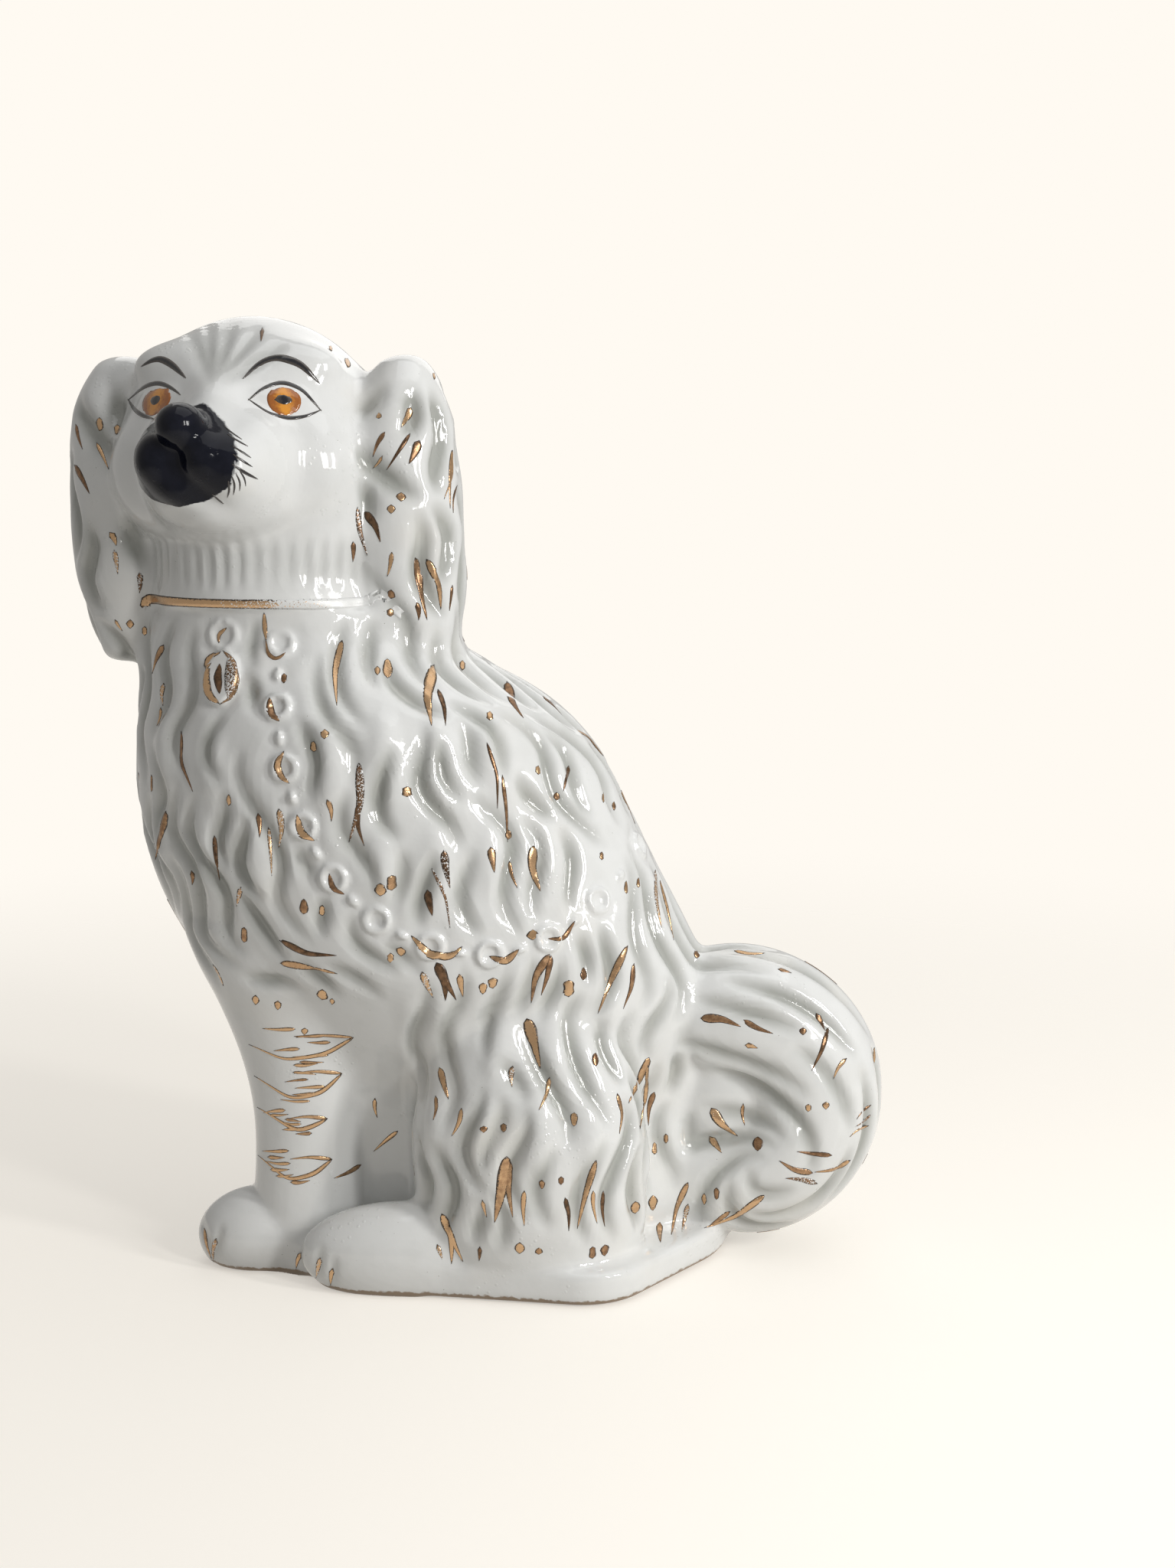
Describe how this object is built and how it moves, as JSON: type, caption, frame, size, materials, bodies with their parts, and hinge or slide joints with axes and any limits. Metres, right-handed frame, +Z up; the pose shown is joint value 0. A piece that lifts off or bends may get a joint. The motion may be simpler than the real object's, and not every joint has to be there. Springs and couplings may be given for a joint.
{
  "type": "staffordshire dog figure",
  "caption": "Seated spaniel mantel figure in hollow white-glazed earthenware with gilt strokes, collar, padlock and chain, head turned to the show side.",
  "frame": {"origin": "on the plinth's underside, on the mould's parting plane", "axes": "+Z up, +X from the chest to the tail, -Y the show side that the head faces"},
  "size_m": [0.2869, 0.1415, 0.332],
  "materials": {
    "white_glaze": "glossy, crazed, with pinholes",
    "black_enamel": "glossy blue-black overglaze",
    "amber_enamel": "glossy, brushed",
    "gilding": "worn gold lustre"
  },
  "bodies": {
    "root": {"base_slab": "white_glaze", "left_body_shell": "white_glaze", "right_body_shell": "white_glaze", "face_shell": "white_glaze", "head_back_shell": "white_glaze", "left_ear": "white_glaze", "right_ear": "white_glaze", "left_eye": "white_glaze", "right_eye": "white_glaze", "neck_ruff": "white_glaze", "chain_links": "white_glaze", "left_foreleg": "white_glaze", "right_foreleg": "white_glaze", "left_hind_foot": "white_glaze", "right_hind_foot": "white_glaze", "tail": "white_glaze", "muzzle": "black_enamel", "nose": "black_enamel", "left_pupil": "black_enamel", "right_pupil": "black_enamel", "left_iris": "amber_enamel", "right_iris": "amber_enamel", "collar": "gilding", "padlock_body": "gilding", "padlock_ring": "gilding"}
  },
  "joints": []
}
